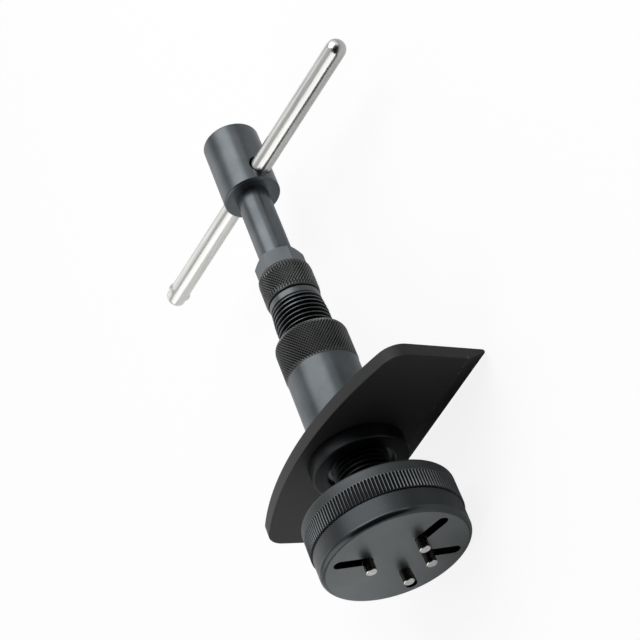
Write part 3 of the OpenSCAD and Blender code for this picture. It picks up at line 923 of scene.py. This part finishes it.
def make_adjuster():
    """Adjuster ring: one flute spun, sunk between its narrow crests, and repeated round the ring."""
    flutes = 140
    depth = 0.5
    sinks = (0.0, 0.3, 0.9, 1.0, 0.9, 0.3, 0.0)
    low = station("adjuster_ring", 0)
    top = station("adjuster_ring", 1)
    band_top = low + 7
    sunk_top = band_top - 0.4
    crest_r = RING_R - 0.35
    hollow_r = RING_R - 0.6
    edge = 1.2
    low_edge = 0.3
    bore_r = HUB_R + TURNING_GAP
    recess_r = 10.7
    recess_low = top - 2.7
    points = [(bore_r, low), (RING_R - low_edge, low), (RING_R, low + low_edge)]
    points += [(RING_R, sunk_top), (RING_R, band_top)]
    points += arc((RING_R - edge, top - edge), edge, 0, 90, 6)
    points += [(recess_r, top), (recess_r, recess_low), (bore_r, recess_low), (bore_r, low)]
    step = math.tau / flutes
    columns = len(sinks) - 1
    bm = bmesh.new()
    bmesh.ops.spin(
        bm, geom=profile_chain(bm, points), cent=(0, 0, 0), axis=(0, 0, 1), angle=step, steps=columns,
        use_merge=False,
    )
    raised = bm.verts.layers.float.new("raised")
    for v in bm.verts:
        r = off_axis(v.co)
        v[raised] = 1.0
        if r > crest_r and v.co.z < (sunk_top + band_top) / 2:
            sink = sinks[round(math.atan2(v.co.y, v.co.x) / step * columns)]
            v[raised] = 1 - sink
            widen(v, 1 - sink * depth / r)
    for f in bm.faces:
        middle = f.calc_center_median()
        fluted = off_axis(middle) > hollow_r and middle.z < band_top
        f.material_index = 1 if fluted else 0
    repeat(bm, flutes, Matrix.Rotation(step, 4, "Z"))
    finishes = [ADAPTER, FLUTES]
    link(bm, "adjuster_ring_fluted", "ring", ["adjuster_ring"], finishes, smooth=40)


make_spindle()
make_bar()
make_thread()
make_collar()
make_hexagon()
make_sleeve()
make_retainer()
make_plate()
make_face()
for pin_number, slot_bearing in enumerate(SLOT_BEARINGS, 1):
    make_pin(pin_number, slot_bearing)
make_adjuster()

CARRIED = {
    "thrust_race_upper": BEARING,
    "thrust_race_lower": BEARING,
    "thrust_balls": BEARING,
    "thrust_ball_cage": BRASS,
    "spindle_circlip": SPRING,
    "hub_pin": SPRING,
    "spring_washer": SPRING,
    "ring_circlip": SPRING,
}
for node_name, finish in CARRIED.items():
    mesh_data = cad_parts[node_name].data
    mesh_data.materials.clear()
    mesh_data.materials.append(finish)


# Studio

FLOOR_HALF = 4.0
FLOOR_GAP = 0.5 * MM
CENTRE = Vector((0.1, 0.0, 0.0))
DARK_SIDE = (-0.74, -0.52, 0.42)


def pale_floor():
    """White board: it takes the object's shadow and lights the object from below; toward the front it is
    painted darker, a painted shade that only reflections and bounce light see.

    The camera sees it near white.
    """
    material, tree, shader = start("white_board")
    tree.nodes.remove(shader)
    output = tree.nodes["Material Output"]
    path = add(tree, "ShaderNodeLightPath")
    place = add(tree, "ShaderNodeTexCoord")
    split = add(tree, "ShaderNodeSeparateXYZ", links={"Vector": place.outputs["Object"]})
    # Painted shade: for all but camera rays the board darkens toward the front
    near = add(tree, "ShaderNodeMapRange", {"From Min": -0.2, "From Max": 0.03},
               {"Value": split.outputs["Y"]})
    painted_front_shade = add(tree, "ShaderNodeValToRGB", links={"Fac": near.outputs["Result"]},
               stops=[(0.0, "#a0a0a0"), (0.65, "#dedede"), (1.0, "#f4f4f4")])
    board = add(tree, "ShaderNodeBsdfDiffuse", links={"Color": painted_front_shade.outputs["Color"]})
    shade = add(tree, "ShaderNodeBsdfDiffuse", {"Color": linear("#707070")})
    glow = add(tree, "ShaderNodeEmission", {"Color": linear("#ffffff"), "Strength": 0.86})
    lifted = add(tree, "ShaderNodeAddShader", links={0: shade.outputs["BSDF"], 1: glow.outputs["Emission"]})
    seen = add(tree, "ShaderNodeMixShader", links={
        0: path.outputs["Is Camera Ray"], 1: board.outputs["BSDF"], 2: lifted.outputs["Shader"],
    })
    tree.links.new(seen.outputs["Shader"], output.inputs["Surface"])
    return material


def make_floor():
    """Wide floor just below the object."""
    bm = bmesh.new()
    bmesh.ops.create_grid(bm, x_segments=1, y_segments=1, size=FLOOR_HALF)
    bmesh.ops.translate(bm, vec=(0, 0, cad_low.z - FLOOR_GAP), verts=bm.verts)
    floor = put_in_scene("floor", into_mesh(bm, "floor"))
    floor.data.materials.append(pale_floor())


def softbox(name, direction, distance, size, radiance):
    """Square lamp in a direction from the tool and aimed at it, given the brightness its face shows."""
    lamp = bpy.data.lights.new(name, "AREA")
    lamp.size = size
    lamp.energy = radiance * math.pi * size ** 2
    lamp_object = put_in_scene(name, lamp)
    lamp_object.location = CENTRE + Vector(direction).normalized() * distance
    lamp_object.rotation_mode = "QUATERNION"
    lamp_object.rotation_quaternion = (CENTRE - lamp_object.location).to_track_quat("-Z", "Y")


def studio_world():
    """White walls near the horizon, dimmer overhead and dark behind the camera, which sees plain white."""
    world = bpy.data.worlds.new("studio")
    world.use_nodes = True
    tree = world.node_tree
    place = add(tree, "ShaderNodeTexCoord")
    split = add(tree, "ShaderNodeSeparateXYZ", links={"Vector": place.outputs["Generated"]})
    sky = add(tree, "ShaderNodeValToRGB", links={"Fac": split.outputs["Z"]},
              stops=[(0.0, "#f4f4f4"), (0.35, "#d0d0d0"), (0.7, "#b0b0b0"), (1.0, "#b0b0b0")])
    toward = add(tree, "ShaderNodeVectorMath", {"operation": "DOT_PRODUCT", 1: DARK_SIDE},
                 {0: place.outputs["Generated"]})
    room = add(tree, "ShaderNodeMapRange", {"From Min": 0.5, "From Max": 0.75},
               {"Value": toward.outputs["Value"]})
    walls = add(tree, "ShaderNodeMixRGB", {"Color2": linear("#141414")},
                {"Fac": room.outputs["Result"], "Color1": sky.outputs["Color"]})
    path = add(tree, "ShaderNodeLightPath")
    seen = add(tree, "ShaderNodeMixRGB", {"Color2": linear("#fdfdfd")},
               {"Fac": path.outputs["Is Camera Ray"], "Color1": walls.outputs["Color"]})
    tree.links.new(seen.outputs["Color"], tree.nodes["Background"].inputs["Color"])
    return world


make_floor()
softbox("key", (0.476, -0.45, 0.755), 0.9, 0.92, 1.7)
softbox("wall", (0.48, 0.68, 0.56), 1.1, 0.8, 0.5)
softbox("bar_strip", (-0.64, 0.53, 0.56), 0.8, 0.68, 0.82)
bpy.context.scene.world = studio_world()
bpy.context.scene.view_settings.view_transform = "Standard"

# Camera at the photograph's place: lens from the focal length in pixels of a 640-pixel frame
IMAGE_PIXELS = 640
FOCAL_PIXELS = 1924.4
CAMERA_PLACE = (-0.3128, -0.4525, 0.3599)
CAMERA_TURN = Quaternion((-0.36865, -0.45813, -0.18518, 0.78735))
camera_data = bpy.data.cameras.new("camera")
camera_data.sensor_width = 36
camera_data.lens = FOCAL_PIXELS / IMAGE_PIXELS * camera_data.sensor_width
camera = put_in_scene("camera", camera_data)
camera.location = CAMERA_PLACE
camera.rotation_mode = "QUATERNION"
camera.rotation_quaternion = CAMERA_TURN
bpy.context.scene.camera = camera
